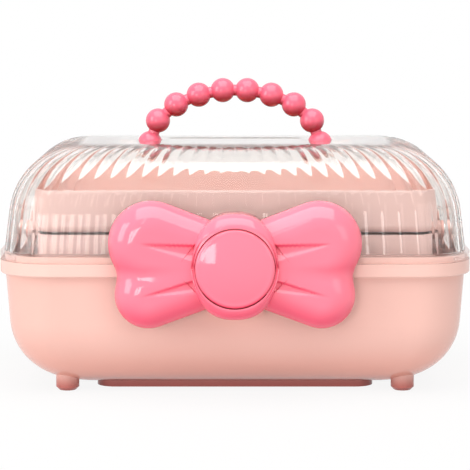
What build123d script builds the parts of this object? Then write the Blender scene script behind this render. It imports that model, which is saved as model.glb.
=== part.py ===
from build123d import *
import math
import os

# Makeup storage case with a carrying handle. Millimetres, +Z up, front faces -Y.
# Origin: middle of the flat plinth under the base.

# case
case_length = 300.0
case_depth = 190.0
case_corner = 34.0
wall = 2.4
rim_edge = 0.8
roll_steps = 5

# base tub
plinth_length = 180.0
plinth_depth = 100.0
plinth_corner = 12.0
foot_diameter = 15.0
foot_edge = 2.0
foot_spread = 108.0
foot_stance = 58.0
tub_floor = 4.0
tub_radius = 45.0
tub_taper = 4.0
tub_end_corner = 15.0
band_inset = 3.4
band_bottom = 77.5
band_height = 8.5
lip_height = 4.0

# clear lid
lid_headroom = 26.5
lid_radius = 45.0
lid_taper = 7.0
lid_end_corner = 14.0
flute_count = 86
flute_depth = 0.8
flute_fade = 0.1
flange_height = 6.0
flange_ledge = 2.5
flange_wall = 2.6
lip_clearance = 0.5
recess_length = 92.0
recess_depth_along = 44.0
recess_corner = 8.0
recess_drop = 1.5

# lid hinge
hinge_setback = 4.0
hinge_rise = 2.0
hinge_spread = 70.0
hinge_pin_diameter = 3.2
hinge_head = 5.4
knuckle_diameter = 7.0
knuckle_length = 9.6
knuckle_gap = 0.4

# cantilever linkage
arm_rest_angle = 15.0
lower_reach = 40.0
upper_reach = 65.0
rear_pivot_setback = 39.0
front_boss_room = 20.2
pivot_rise = 2.0
arm_width = 10.0
arm_thickness = 3.0
arm_setoff = 9.0
arm_side_gap = 0.4
pin_diameter = 3.0
rivet_head = 6.0
rivet_head_thickness = 1.2
turning_clearance = 0.08
open_pivot_clearance = 0.3
seat_clearance = 0.02
axial_clearance = 0.15
boss_diameter = 9.0
stud_diameter = 4.4
stud_boss_length = 7.0
stud_boss_root = 1.0

# trays
tray_end_room = 4.7
tray_front_room = 11.2
tray_back_room = 17.2
tray_rise = 17.5
tray_height = 27.0
tray_gap = 1.0
tray_corner = 14.0
tray_wall = 2.0
tray_edge = 5.0

# beaded handle
bead_count = 10
bead_diameter = 16.2
neck_diameter = 7.5
handle_half_span = 56.5
handle_rise = 35.6
handle_pivot_drop = 2.2
handle_pin_diameter = 2.5
handle_pin_length = 13.0
handle_pin_bite = 6.0
well_clearance = 0.5
well_wall = 2.2
handle_boss_length = 9.0
handle_boss_width = 8.0
handle_boss_drop = 4.0

# bow cover
bow_rise = 2.0
bow_back = 1.5
bow_wing_depth = 17.5
bow_wing_edge = 13.0
bow_wall = 2.5
root_radius = 20.5
upper_lobe = (51.5, 13.0, 26.7)
lower_lobe = (53.5, -19.0, 21.0)
notch_radius = 40.0
knot_width = 53.0
knot_height = 66.0
knot_depth = 24.5
knot_edge = 6.0
knot_room_edge = 3.0
crease_length = 33.0
crease_start = 25.0
crease_tip = 0.5
crease_lift = 2.0
crease_upper = (7.5, 9.0, 5.5)
crease_lower = (-13.0, -11.0, 4.5)

# latch
button_diameter = 49.0
button_gap = 0.5
button_dome = 2.6
button_drop = 1.6
button_flange = 1.6
button_flange_width = 18.0
button_flange_thickness = 1.4
button_stroke = 2.5
button_recess = 0.3
stem_diameter = 5.0
stem_edge = 2.0
catch_gap = 0.2
catch_width = 14.4
catch_thickness = 2.0
catch_pin_drop = 12.0
catch_pin_setout = 6.0
catch_hub = 5.8
catch_lever = 9.5
nose_gap = 0.3
nose_height = 2.2
nose_reach = 1.7
bracket_width = 36.0
bracket_gap = 0.3
bracket_wall = 2.0
bracket_height = 24.2
bracket_corner = 3.0
bracket_seat = 0.2
ear_thickness = 2.5
ear_gap = 0.3
spring_width = 6.0
spring_thickness = 0.4
spring_bend = 1.2
spring_lead = 1.0

# screws
screw_diameter = 3.0
screw_head = 5.6
screw_head_height = 1.8
screw_post = 8.0
bow_screw_spread = 48.0
bow_screw_drop = 20.0
bracket_screw_spread = 13.0
bracket_screw_rise = 11.0

# derived places
band_top = band_bottom + band_height
half_length = case_length / 2
half_depth = case_depth / 2
front_face = -half_depth
flange_top = band_top + flange_height
lip_top = band_top + lip_height
hinge_y = half_depth + hinge_setback
hinge_z = band_top + hinge_rise
pivot_z = band_top + pivot_rise
rear_pivot = hinge_y - rear_pivot_setback
tub_wall_x = half_length - band_inset - wall
tub_wall_y = half_depth - band_inset - wall
arm_outer = tub_wall_x - arm_setoff
arm_inner = arm_outer - arm_thickness
tray_length = 2 * (arm_inner - tray_end_room)
tray_front = tray_front_room - tub_wall_y
tray_back = tub_wall_y - tray_back_room
tray_depth = tray_back - tray_front
front_boss = tray_front + front_boss_room
front_pivot = front_boss + upper_reach * math.cos(math.radians(arm_rest_angle))
upper_tray_bottom = band_top + tray_rise
lower_tray_bottom = upper_tray_bottom - tray_gap - tray_height
tray_middle = tray_back - tray_depth / 2
lid_top = upper_tray_bottom + tray_height + lid_headroom
handle_pivot_z = lid_top - handle_pivot_drop
bow_height = band_top + bow_rise
bow_back_y = front_face - bow_back
wing_front = bow_back_y - bow_wing_depth
knot_front = bow_back_y - knot_depth
button_z = bow_height - button_drop
catch_pin_y = front_face - catch_pin_setout
catch_pin_z = flange_top - catch_pin_drop
bracket_front = front_face - bracket_gap - bracket_wall
bracket_top = band_bottom - bracket_gap
bracket_bottom = bracket_top - bracket_height
bracket_screw_height = bracket_bottom + bracket_screw_rise


def along_x(length, radius, x, y, z):
    """Cylinder along X, centred at a point."""
    return Pos(x, y, z) * Rot(0, 90, 0) * Cylinder(radius, length)


def along_y(radius, x, z, y_from, y_to):
    """Cylinder along Y between two places."""
    middle = (y_from + y_to) / 2
    return Pos(x, middle, z) * Rot(90, 0, 0) * Cylinder(radius, abs(y_to - y_from))


def block(x_from, x_to, y_from, y_to, z_from, z_to):
    """Box between two corners."""
    centre = Pos((x_from + x_to) / 2, (y_from + y_to) / 2, (z_from + z_to) / 2)
    return centre * Box(x_to - x_from, y_to - y_from, z_to - z_from)


def both_sides(shape):
    """The shape with its mirror image across the case."""
    return shape + mirror(shape, about=Plane.YZ)


def rounded_slab(length, depth, corner, z_from, z_to):
    """Upright prism with rounded plan corners, centred on the case."""
    return extrude(Pos(0, 0, z_from) * RectangleRounded(length, depth, corner), z_to - z_from)


def roll_stations(height, taper, radius):
    """Insets and rises of a tapered wall that rolls over a tangent arc to a flat end."""
    lean = math.radians(taper)
    tangent = height - radius + radius * math.sin(lean)
    middle = tangent * math.tan(lean) + radius * math.cos(lean)
    stations = [(0.0, 0.0)]
    for step in range(roll_steps + 1):
        angle = lean + (math.pi / 2 - lean) * step / roll_steps
        inset = middle - radius * math.cos(angle)
        stations.append((inset, height - radius + radius * math.sin(angle)))
    return stations


def bowl(half_x, half_y, corner, end_corner, start, height, taper, radius, turn):
    """Smooth bowl or dome between its open end and its flat end.

    turn is 1 when the flat end is above the start and -1 when it is below.
    """
    stations = roll_stations(height, taper, radius)
    sections = []
    for inset, rise in stations:
        round_corner = corner + (end_corner - corner) * inset / stations[-1][0]
        plan = RectangleRounded(2 * (half_x - inset), 2 * (half_y - inset), round_corner)
        sections.append(Pos(0, 0, start + turn * rise) * plan)
    return loft(sections[:2], ruled=True) + loft(sections[1:])


def tub_outer():
    """Outside of the base, from under the band down to the flat floor."""
    return bowl(half_length - band_inset, half_depth - band_inset, case_corner - band_inset,
                tub_end_corner, band_bottom, band_bottom - tub_floor, tub_taper, tub_radius, -1)


def tub_inner():
    """Room inside the base, up to the band."""
    inset = band_inset + wall
    return bowl(half_length - inset, half_depth - inset, case_corner - inset,
                tub_end_corner - wall, band_bottom, band_bottom - tub_floor - wall,
                tub_taper, tub_radius - wall, -1)


def dome_inside():
    """Smooth room inside the lid's dome."""
    inset = flange_ledge + wall
    return bowl(half_length - inset, half_depth - inset, case_corner - inset,
                lid_end_corner - wall, flange_top, lid_top - wall - flange_top,
                lid_taper, lid_radius - wall, 1)


def loop_point(half_x, half_y, corner, turn):
    """Point on a rounded rectangle and its outward direction, for a turn from 0 to 1.

    Each straight and each corner takes the share of the turn that it has at the dome's foot,
    so that a flute stays on its own straight or corner all the way up.
    """
    foot_corner = case_corner - flange_ledge
    long = half_length - case_corner
    short = half_depth - case_corner
    bend = math.pi / 2 * foot_corner
    along = 4 * (long + short + bend) * turn
    for quarter in range(4):
        first, second = (long, short) if quarter % 2 == 0 else (short, long)
        if along <= first + bend + second:
            break
        along -= first + bend + second
    flat_x, flat_y = half_x - corner, half_y - corner
    if quarter % 2:
        flat_x, flat_y = flat_y, flat_x
    angle = math.pi / 2 * min(max((along - first) / bend, 0), 1)
    side = flat_x * min(along / first, 1) + corner * math.sin(angle)
    front = flat_y * (1 - max(along - first - bend, 0) / second) + corner * math.cos(angle)
    point = Vector(side, -front).rotate(Axis.Z, 90 * quarter)
    return point, Vector(math.sin(angle), -math.cos(angle)).rotate(Axis.Z, 90 * quarter)


def fluted_section(half_x, half_y, corner, depth, z):
    """Outline of the dome at a height: shallow scallops that meet in ridges."""
    arcs = []
    for flute in range(flute_count):
        start, _ = loop_point(half_x, half_y, corner, flute / flute_count)
        middle, outward = loop_point(half_x, half_y, corner, (flute + 0.5) / flute_count)
        end, _ = loop_point(half_x, half_y, corner, (flute + 1) / flute_count % 1)
        arcs.append(ThreePointArc(start, middle - outward * depth, end))
    return Pos(0, 0, z) * make_face(arcs)


def dome_outside():
    """Fluted outside of the lid's dome; the flutes fade out at the deck."""
    half_x, half_y = half_length - flange_ledge, half_depth - flange_ledge
    corner = case_corner - flange_ledge
    stations = roll_stations(lid_top - flange_top, lid_taper, lid_radius)
    sections = []
    for inset, rise in stations:
        share = inset / stations[-1][0]
        depth = flute_depth if share < 1 else flute_fade
        sections.append(fluted_section(half_x - inset, half_y - inset,
                                       corner + (lid_end_corner - corner) * share, depth,
                                       flange_top + rise))
    return loft(sections[:2], ruled=True) + loft(sections[1:])


def knuckle(x, radius=knuckle_diameter / 2):
    """One hinge knuckle without its web."""
    return along_x(knuckle_length, radius, x, hinge_y, hinge_z)


def hinge_places():
    """Middles of the knuckles on the right: inner base, lid and outer base."""
    pitch = knuckle_length + knuckle_gap
    return hinge_spread - pitch, hinge_spread, hinge_spread + pitch


def knuckle_web(x, y_from, z_from, z_to):
    """Web from the rim's back to the middle of a knuckle."""
    half = knuckle_length / 2
    return block(x - half, x + half, y_from, hinge_y, z_from, z_to)


def pivot(direction_angle, base_y, reach):
    """Point on an arm, as (y, z), at a reach from its base pivot."""
    angle = math.radians(180 - direction_angle)
    return base_y + reach * math.cos(angle), pivot_z + reach * math.sin(angle)


def screw_places():
    """All case screws as (x, z): two for the bow and two for the bracket."""
    bow = bow_height - bow_screw_drop
    return [(-bow_screw_spread, bow), (bow_screw_spread, bow),
            (-bracket_screw_spread, bracket_screw_height),
            (bracket_screw_spread, bracket_screw_height)]


def tub_front_inside(z):
    """Inner face of the tub's front wall at a height on its straight part."""
    lean = math.tan(math.radians(tub_taper))
    return front_face + band_inset + wall + (band_bottom - z) * lean


def base_tub():
    """Base moulding: tub, band, lip, plinth, feet, hinge ears and bosses."""
    tub = tub_outer()
    tub += rounded_slab(plinth_length, plinth_depth, plinth_corner, 0, tub_floor + 4 * wall)
    for x in (-foot_spread, foot_spread):
        for y in (-foot_stance, foot_stance):
            foot = Pos(x, y, foot_diameter) * Cylinder(foot_diameter / 2, 2 * foot_diameter)
            tub += chamfer(foot.edges().group_by(Axis.Z)[0], foot_edge)
    band = rounded_slab(case_length, case_depth, case_corner, band_bottom, band_top)
    tub += chamfer(band.edges().group_by(Axis.Z)[0], rim_edge)
    lip_inset = 2 * (flange_wall + lip_clearance)
    tub += rounded_slab(case_length - lip_inset, case_depth - lip_inset,
                        case_corner - lip_inset / 2, band_top, lip_top)
    inset = 2 * (band_inset + wall)
    tub -= rounded_slab(case_length - inset, case_depth - inset, case_corner - inset / 2,
                        band_bottom, lip_top)
    tub -= tub_inner()

    boss_length = tub_wall_x - arm_outer - arm_side_gap
    for y in (front_pivot, rear_pivot):
        x = tub_wall_x - boss_length / 2
        boss = along_x(boss_length, boss_diameter / 2, x, y, pivot_z)
        hole = along_x(boss_length, pin_diameter / 2 + seat_clearance, x - wall, y, pivot_z)
        tub = (tub + both_sides(boss)) - both_sides(hole)

    inner, _, outer = hinge_places()
    for x in (inner, outer):
        web_bottom = band_bottom + 2 * rim_edge
        ear = knuckle(x) + knuckle_web(x, half_depth - wall, web_bottom, band_top)
        ear += knuckle_web(x, half_depth + knuckle_gap, web_bottom, hinge_z)
        ear -= knuckle(x, hinge_pin_diameter / 2 + seat_clearance)
        tub += both_sides(ear)

    for x, z in screw_places():
        inside = tub_front_inside(z + screw_head / 2)
        if abs(x) > bracket_width / 2:
            post = along_y(screw_post / 2, x, z, bow_back_y, tub_front_inside(z) - wall / 2)
            tub += post
        tub -= along_y(screw_diameter / 2 + seat_clearance, x, z, bow_back_y - 1, inside + wall)
        tub -= along_y(screw_head / 2 + seat_clearance, x, z, tub_front_inside(z) - wall / 4,
                       inside + wall)
    return tub


def handle_wells():
    """Solid cups under the deck that hold the end beads and the handle pins."""
    radius = bead_diameter / 2 + well_clearance + well_wall
    cup = Pos(handle_half_span, 0, handle_pivot_z) * Sphere(radius)
    cup += block(handle_half_span, handle_half_span + radius + handle_boss_length,
                 -handle_boss_width / 2, handle_boss_width / 2,
                 handle_pivot_z - handle_boss_drop, lid_top)
    cup &= block(0, half_length, -radius, radius, handle_pivot_z - radius, lid_top)
    return both_sides(cup)


def lid_rim():
    """Clear rim that drops over the base's lip, with the ledge and the hinge ears."""
    flange = rounded_slab(case_length, case_depth, case_corner, band_top, flange_top)
    rim = chamfer(flange.edges().group_by(Axis.Z)[-1], rim_edge)
    seat = 2 * flange_wall
    seat_top = lip_top + lip_clearance
    rim -= rounded_slab(case_length - seat, case_depth - seat, case_corner - seat / 2,
                        band_top, seat_top)
    inset = flange_ledge + wall
    rim -= rounded_slab(case_length - 2 * inset, case_depth - 2 * inset, case_corner - inset,
                        seat_top, flange_top)
    _, middle, _ = hinge_places()
    ear = knuckle(middle) + knuckle_web(middle, half_depth - rim_edge, hinge_z, flange_top)
    ear -= knuckle(middle, hinge_pin_diameter / 2 + turning_clearance)
    return rim + both_sides(ear)


def stud_wall_x(z):
    """Inner face of the lid's end wall at a height on its straight part."""
    lean = math.tan(math.radians(lid_taper))
    return half_length - flange_ledge - wall - (z - flange_top) * lean


def lid_shell():
    """Clear fluted dome with its deck recess, handle wells and stud bosses."""
    shell = dome_outside() - dome_inside()
    pan = rounded_slab(recess_length + 2 * wall, recess_depth_along + 2 * wall,
                       recess_corner + wall, lid_top - wall - recess_drop, lid_top - wall)
    shell += pan
    shell += handle_wells()
    shell -= rounded_slab(recess_length, recess_depth_along, recess_corner,
                          lid_top - recess_drop, lid_top)
    well = Pos(handle_half_span, 0, handle_pivot_z)
    well = well * Sphere(bead_diameter / 2 + well_clearance)
    pin_end = handle_half_span + handle_pin_length + bead_diameter / 2
    bore = along_x(pin_end - handle_half_span, handle_pin_diameter / 2 + turning_clearance,
                   (pin_end + handle_half_span) / 2, 0, handle_pivot_z)
    shell -= both_sides(well + bore)

    y, z = pivot(arm_rest_angle, hinge_y, upper_reach)
    length = stud_boss_length + stud_boss_root
    middle = stud_wall_x(z) - stud_boss_length / 2
    boss = along_x(length, boss_diameter / 2, middle + stud_boss_root / 2, y, z)
    hole = along_x(length, stud_diameter / 2 + seat_clearance, middle - 3 * stud_boss_root / 2,
                   y, z)
    return (shell + both_sides(boss)) - both_sides(hole)


def lift_studs():
    """Two studs on the lid's end walls that lift the upper tray."""
    y, z = pivot(arm_rest_angle, hinge_y, upper_reach)
    start = tray_length / 2 + axial_clearance
    end = stud_wall_x(z) - stud_boss_root - axial_clearance
    stud = along_x(end - start, stud_diameter / 2, (start + end) / 2, y, z)
    return both_sides(stud)


def hinge_pins():
    """Two hinge pins, each with a head at its inner end."""
    inner, _, outer = hinge_places()
    start = inner - knuckle_length / 2
    end = outer + knuckle_length / 2
    pin = along_x(end - start, hinge_pin_diameter / 2, (start + end) / 2, hinge_y, hinge_z)
    head = along_x(rivet_head_thickness, hinge_head / 2,
                   start - rivet_head_thickness / 2, hinge_y, hinge_z)
    return both_sides(pin + head)


def arm(base_y, tray_hole_clearance):
    """Right-hand link: a flat stadium plate with three holes."""
    angle = math.radians(180 - arm_rest_angle)
    plane = Plane(origin=(arm_inner, base_y, pivot_z), z_dir=(1, 0, 0),
                  x_dir=(0, math.cos(angle), math.sin(angle)))
    outline = Pos(upper_reach / 2, 0) * SlotCenterToCenter(upper_reach, arm_width)
    outline -= Circle(pin_diameter / 2 + turning_clearance)
    for reach in (lower_reach, upper_reach):
        outline -= Pos(reach, 0) * Circle(pin_diameter / 2 + tray_hole_clearance)
    return extrude(plane * outline, arm_thickness)


def base_pivot_pins():
    """Four shoulder rivets that carry the arms on the base."""
    head_x = arm_inner - axial_clearance - rivet_head_thickness / 2
    start = arm_inner - axial_clearance - rivet_head_thickness
    end = tub_wall_x - wall
    pins = Part()
    for y in (front_pivot, rear_pivot):
        rivet = along_x(end - start, pin_diameter / 2, (start + end) / 2, y, pivot_z)
        rivet += along_x(rivet_head_thickness, rivet_head / 2, head_x, y, pivot_z)
        pins += both_sides(rivet)
    return pins


def tray_pins(reach):
    """Four rivets from one tray's bosses out through the arms."""
    start = tray_length / 2 - tray_wall + axial_clearance
    end = arm_outer + axial_clearance + rivet_head_thickness
    pins = Part()
    for base_y in (front_pivot, rear_pivot):
        y, z = pivot(arm_rest_angle, base_y, reach)
        rivet = along_x(end - start, pin_diameter / 2, (start + end) / 2, y, z)
        rivet += along_x(rivet_head_thickness, rivet_head / 2, end - rivet_head_thickness / 2,
                         y, z)
        pins += both_sides(rivet)
    return pins


def tray(bottom, reach, stud_places):
    """Open tray with rounded corners, an outward rim and pivot bosses."""
    middle = Pos(0, tray_middle, 0)
    body = rounded_slab(tray_length, tray_depth, tray_corner, bottom, bottom + tray_height)
    body = fillet(body.edges().group_by(Axis.Z)[0], tray_edge)
    room = rounded_slab(tray_length - 2 * tray_wall, tray_depth - 2 * tray_wall,
                        tray_corner - tray_wall, bottom + tray_wall, bottom + tray_height)
    room = chamfer(room.edges().group_by(Axis.Z)[0], tray_edge - tray_wall)
    body = middle * (body - room)
    places = [pivot(arm_rest_angle, base_y, reach) for base_y in (front_pivot, rear_pivot)]
    for y, z in places:
        body += both_sides(tray_boss(y, z, bottom))
    for y, z in stud_places:
        body += both_sides(tray_boss(y, z, bottom))
        body -= both_sides(along_x(2 * (tray_boss_end() - tray_length / 2),
                                   stud_diameter / 2 + open_pivot_clearance,
                                   tray_boss_end(), y, z))
    for y, z in places:
        body -= both_sides(along_x(4 * tray_wall + boss_diameter,
                                   pin_diameter / 2 + seat_clearance, tray_length / 2, y, z))
    return body


def tray_boss_end():
    """Outer face of a tray's pivot bosses."""
    return arm_inner - arm_side_gap


def tray_boss(y, z, bottom):
    """Pivot boss on a tray's end wall, stepped clear of the tray above or below."""
    start = tray_length / 2
    end = tray_boss_end()
    outside = along_x(end - start - arm_side_gap, boss_diameter / 2,
                      (start + arm_side_gap + end) / 2, y, z)
    inside = along_x(end - start + tray_wall, boss_diameter / 2,
                     (start - tray_wall + end) / 2, y, z)
    room = block(0, case_length, y - boss_diameter, y + boss_diameter, bottom,
                 bottom + tray_height)
    return outside + (inside & room)


def handle_beads():
    """Arch of fused beads, evenly spaced along a half ellipse."""
    arch = EllipticalCenterArc((0, 0), handle_half_span, handle_rise, start_angle=0, arc_size=180)
    places = [arch @ (index / (bead_count - 1)) for index in range(bead_count)]
    centres = [Vector(place.X, 0, handle_pivot_z + place.Y) for place in places]
    beads = Part()
    for centre in centres:
        beads += Pos(centre) * Sphere(bead_diameter / 2)
    for first, second in zip(centres, centres[1:]):
        axis = Plane(origin=(first + second) / 2, z_dir=second - first)
        beads += axis * Cylinder(neck_diameter / 2, (second - first).length)
    start = handle_half_span + bead_diameter / 2 - handle_pin_bite
    hole = along_x(bead_diameter, handle_pin_diameter / 2 + seat_clearance,
                   start + bead_diameter / 2, 0, handle_pivot_z)
    return beads - both_sides(hole)


def handle_pins():
    """Two pins that carry the handle in the lid's wells."""
    start = handle_half_span + bead_diameter / 2 - handle_pin_bite + axial_clearance
    pin = along_x(handle_pin_length, handle_pin_diameter / 2, start + handle_pin_length / 2,
                  0, handle_pivot_z)
    return both_sides(pin)


def lobe(place, shrink):
    """Hull of a wing lobe and the bow's root circle."""
    x, z, radius = place
    circles = Sketch() + Circle(root_radius - shrink) + Pos(x, z) * Circle(radius - shrink)
    return make_hull(circles.edges())


def wing(shrink, depth, edge):
    """Right wing of the bow as a pillow, reduced all round by a shrink."""
    outline = lobe(upper_lobe, shrink) + lobe(lower_lobe, shrink)
    notch = outline.vertices().sort_by(Axis.X)
    notch = [v for v in notch if v.X > root_radius and len(v.edges()) != 1]
    corner = min(notch, key=lambda v: abs(v.Y) + abs(v.X - upper_lobe[0] - root_radius))
    outline = fillet(corner, notch_radius + shrink)
    plane = Plane(origin=(0, bow_back_y, bow_height), x_dir=(1, 0, 0), z_dir=(0, -1, 0))
    body = extrude(plane * outline, depth)
    return fillet(body.edges().group_by(Axis.Y)[0], edge)


def knot(shrink, depth, edge):
    """Oval knot in the middle of the bow."""
    plane = Plane(origin=(0, bow_back_y, bow_height), x_dir=(1, 0, 0), z_dir=(0, -1, 0))
    outline = Ellipse(knot_width / 2 - shrink, knot_height / 2 - shrink)
    body = extrude(plane * outline, depth)
    return fillet(body.edges().group_by(Axis.Y)[0], edge)


def crease(form, grow):
    """Tapered fold that runs outwards from the knot over the wing's face."""
    level, tilt, radius = form
    angle = math.radians(tilt)
    axis = Plane(origin=(crease_start, wing_front - crease_lift, bow_height + level),
                 z_dir=(math.cos(angle), 0, math.sin(angle)))
    align = (Align.CENTER, Align.CENTER, Align.MIN)
    return axis * Cone(radius + grow, crease_tip + crease_lift + grow, crease_length, align=align)


def bow_cover():
    """Hollow bow moulding with its creases, the button's bore and two screw posts."""
    shell = both_sides(wing(0, bow_wing_depth, bow_wing_edge))
    room = both_sides(wing(bow_wall, bow_wing_depth - bow_wall, bow_wing_edge - bow_wall))
    for form in (crease_upper, crease_lower):
        shell -= both_sides(crease(form, 0))
        room -= both_sides(crease(form, bow_wall))
    shell += knot(0, knot_depth, knot_edge)
    room += knot(bow_wall, knot_depth - bow_wall, knot_room_edge)
    shell -= room
    bore = button_diameter / 2 + button_gap
    shell -= along_y(bore, 0, button_z, bow_back_y, knot_front - 1)
    notch = bracket_width / 2 + bracket_gap
    shell -= block(-notch, notch, bracket_front - bracket_gap, bow_back_y,
                   bow_height - knot_height, bow_height)
    for x, z in screw_places()[:2]:
        post = along_y(screw_post / 2, x, z, bow_back_y, wing_front + bow_wall / 2)
        hole = along_y(screw_diameter / 2 + seat_clearance, x, z, bow_back_y,
                       wing_front + 2 * bow_wall)
        shell = (shell + post) - hole
    return shell


def bow_button():
    """Domed push button with two keeper tabs and an off-centre stem."""
    radius = button_diameter / 2
    dome_radius = (radius ** 2 + button_dome ** 2) / (2 * button_dome)
    face = knot_front + button_recess - button_dome
    back = button_flange_front() + button_flange_thickness
    rim = (radius, face + button_dome)
    halfway = (radius / 2, face + dome_radius - math.sqrt(dome_radius ** 2 - (radius / 2) ** 2))
    outline = make_face([ThreePointArc((0, face), halfway, rim),
                         Polyline(rim, (radius, back), (0, back), (0, face))])
    body = Pos(0, 0, button_z) * revolve(outline, Axis.Y)
    tabs = along_y(radius + button_flange, 0, button_z, button_flange_front(), back)
    half = button_flange_width / 2
    tabs &= block(-half, half, face, back, 0, lid_top)
    stem_z = catch_pin_z - catch_lever
    stem = along_y(stem_diameter / 2, 0, stem_z, face + button_dome, stem_tip_y())
    return body + tabs + chamfer(stem.edges().group_by(Axis.Y)[-1], stem_edge)


def button_flange_front():
    """Front of the keeper flange, just behind the cover's front wall."""
    return knot_front + bow_wall + axial_clearance


def stem_tip_y():
    """Tip of the stem, just in front of the catch's lower arm."""
    return catch_pin_y - catch_thickness / 2 - catch_gap


def latch_catch():
    """Rocker that hooks over the lid's flange."""
    half = catch_width / 2
    front = catch_pin_y - catch_thickness / 2
    back = catch_pin_y + catch_thickness / 2
    nose_bottom = flange_top + nose_gap
    body = block(-half, half, front, back, catch_pin_z - catch_lever - stem_diameter / 2,
                 nose_bottom + nose_height)
    body += block(-half, half, front, front_face + nose_reach, nose_bottom,
                  nose_bottom + nose_height)
    tip = body.edges().filter_by(Axis.X).group_by(Axis.Y)[-1]
    body = chamfer(tip.sort_by(Axis.Z)[-1], nose_height / 2)
    body += along_x(catch_width, catch_hub / 2, 0, catch_pin_y, catch_pin_z)
    return body - along_x(catch_width, pin_diameter / 2 + turning_clearance, 0, catch_pin_y,
                          catch_pin_z)


def ear_middle():
    """Middle of the right bracket ear, across the case."""
    return catch_width / 2 + ear_gap + ear_thickness / 2


def catch_pin():
    """Cross pin of the catch, pressed into both bracket ears."""
    length = 2 * ear_middle() + ear_thickness
    return along_x(length, pin_diameter / 2, 0, catch_pin_y, catch_pin_z)


def tub_front_outside(z):
    """Outer face of the tub's front wall at a height on its straight part."""
    return tub_front_inside(z) - wall


def bracket_slab(shrink, y_from, y_to):
    """Prism along Y with the bracket's rounded outline, reduced by a shrink."""
    plane = Plane(origin=(0, y_from, (bracket_top + bracket_bottom) / 2), x_dir=(1, 0, 0),
                  z_dir=(0, 1, 0))
    outline = RectangleRounded(bracket_width - 2 * shrink, bracket_height - 2 * shrink,
                               bracket_corner - shrink)
    return extrude(plane * outline, y_to - y_from)


def latch_bracket():
    """Box bracket behind the knot, with a neck and two ears for the catch pin."""
    front = bracket_front
    back = front + bracket_wall
    deep = front_face + 4 * wall
    body = bracket_slab(0, front, deep) - bracket_slab(bracket_wall, back, deep)
    neck = ear_middle() + ear_thickness / 2
    body += block(-neck, neck, front, back, band_bottom - bracket_corner,
                  catch_pin_z + catch_hub)
    for x, z in screw_places()[2:]:
        body += along_y(screw_post / 2, x, z, front, deep)
        body -= along_y(screw_diameter / 2 + seat_clearance, x, z, back - bracket_gap, deep)
    inner = catch_width / 2 + ear_gap
    ear = along_x(ear_thickness, catch_hub / 2, ear_middle(), catch_pin_y, catch_pin_z)
    ear += block(inner, inner + ear_thickness, catch_pin_y, front + bracket_wall / 2,
                 catch_pin_z - catch_hub / 2, catch_pin_z + catch_hub / 2)
    ear -= along_x(ear_thickness, pin_diameter / 2 + seat_clearance, ear_middle(),
                   catch_pin_y, catch_pin_z)
    body += both_sides(ear)
    body -= block(-inner, inner, front, back, catch_pin_z - catch_lever - stem_diameter,
                  catch_pin_z - catch_hub)
    low = bracket_bottom - bracket_wall
    wedge = Polyline((tub_front_outside(low) - bracket_seat, low),
                     (tub_front_outside(band_bottom) - bracket_seat, band_bottom),
                     (0, band_bottom), (0, low), close=True)
    side = Plane(origin=(-bracket_width, 0, 0), x_dir=(0, 1, 0), z_dir=(1, 0, 0))
    return body - extrude(side * make_face(wedge), 2 * bracket_width)


def button_springs():
    """Two leaf springs between the bracket and the button's keeper flange."""
    foot_y = bracket_front - spring_thickness / 2
    tip_y = button_flange_front() + button_flange_thickness + spring_thickness / 2
    foot_x = ear_middle() + ear_thickness
    tip_x = button_diameter / 2 - 2 * bow_wall
    reach = foot_y - tip_y
    path = FilletPolyline((foot_x, foot_y), (bracket_width / 2, foot_y),
                          (foot_x + spring_lead, foot_y - reach / 2),
                          (tip_x, tip_y + reach / 8), (tip_x + spring_lead, tip_y),
                          radius=spring_bend)
    strip = trace(path, spring_thickness)
    plane = Plane.XY.offset(button_z - spring_width / 2)
    return both_sides(extrude(plane * strip, spring_width))


def case_screws():
    """Four screws from inside the base into the bow and the bracket."""
    screws = Part()
    for x, z in screw_places():
        seat = tub_front_inside(z) - wall / 4
        tip = wing_front + 2 * bow_wall + 1
        if abs(x) < bracket_width / 2:
            tip = bracket_front + bracket_wall
        screws += along_y(screw_diameter / 2, x, z, tip, seat)
        screws += along_y(screw_head / 2, x, z, seat, seat + screw_head_height)
    return screws


def upper_tray():
    """Upper tray, with bosses for its rivets and for the lid's studs."""
    stud = pivot(arm_rest_angle, hinge_y, upper_reach)
    return tray(upper_tray_bottom, upper_reach, [stud])


def lower_tray():
    """Lower tray, with bosses for its rivets."""
    return tray(lower_tray_bottom, lower_reach, [])


nodes = {
    "base_tub": base_tub,
    "lid_rim": lid_rim,
    "lid_shell": lid_shell,
    "lift_studs": lift_studs,
    "hinge_pins": hinge_pins,
    "front_arm_right": lambda: arm(front_pivot, turning_clearance),
    "front_arm_left": lambda: mirror(arm(front_pivot, turning_clearance), about=Plane.YZ),
    "rear_arm_right": lambda: arm(rear_pivot, open_pivot_clearance),
    "rear_arm_left": lambda: mirror(arm(rear_pivot, open_pivot_clearance), about=Plane.YZ),
    "base_pivot_pins": base_pivot_pins,
    "upper_tray": upper_tray,
    "lower_tray": lower_tray,
    "upper_tray_pins": lambda: tray_pins(upper_reach),
    "lower_tray_pins": lambda: tray_pins(lower_reach),
    "handle_beads": handle_beads,
    "handle_pins": handle_pins,
    "bow_cover": bow_cover,
    "bow_button": bow_button,
    "button_springs": button_springs,
    "latch_bracket": latch_bracket,
    "latch_catch": latch_catch,
    "catch_pin": catch_pin,
    "case_screws": case_screws,
}

os.makedirs("parts", exist_ok=True)
for name, make in nodes.items():
    export_step(make(), f"parts/{name}.step")
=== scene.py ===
import math

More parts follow.
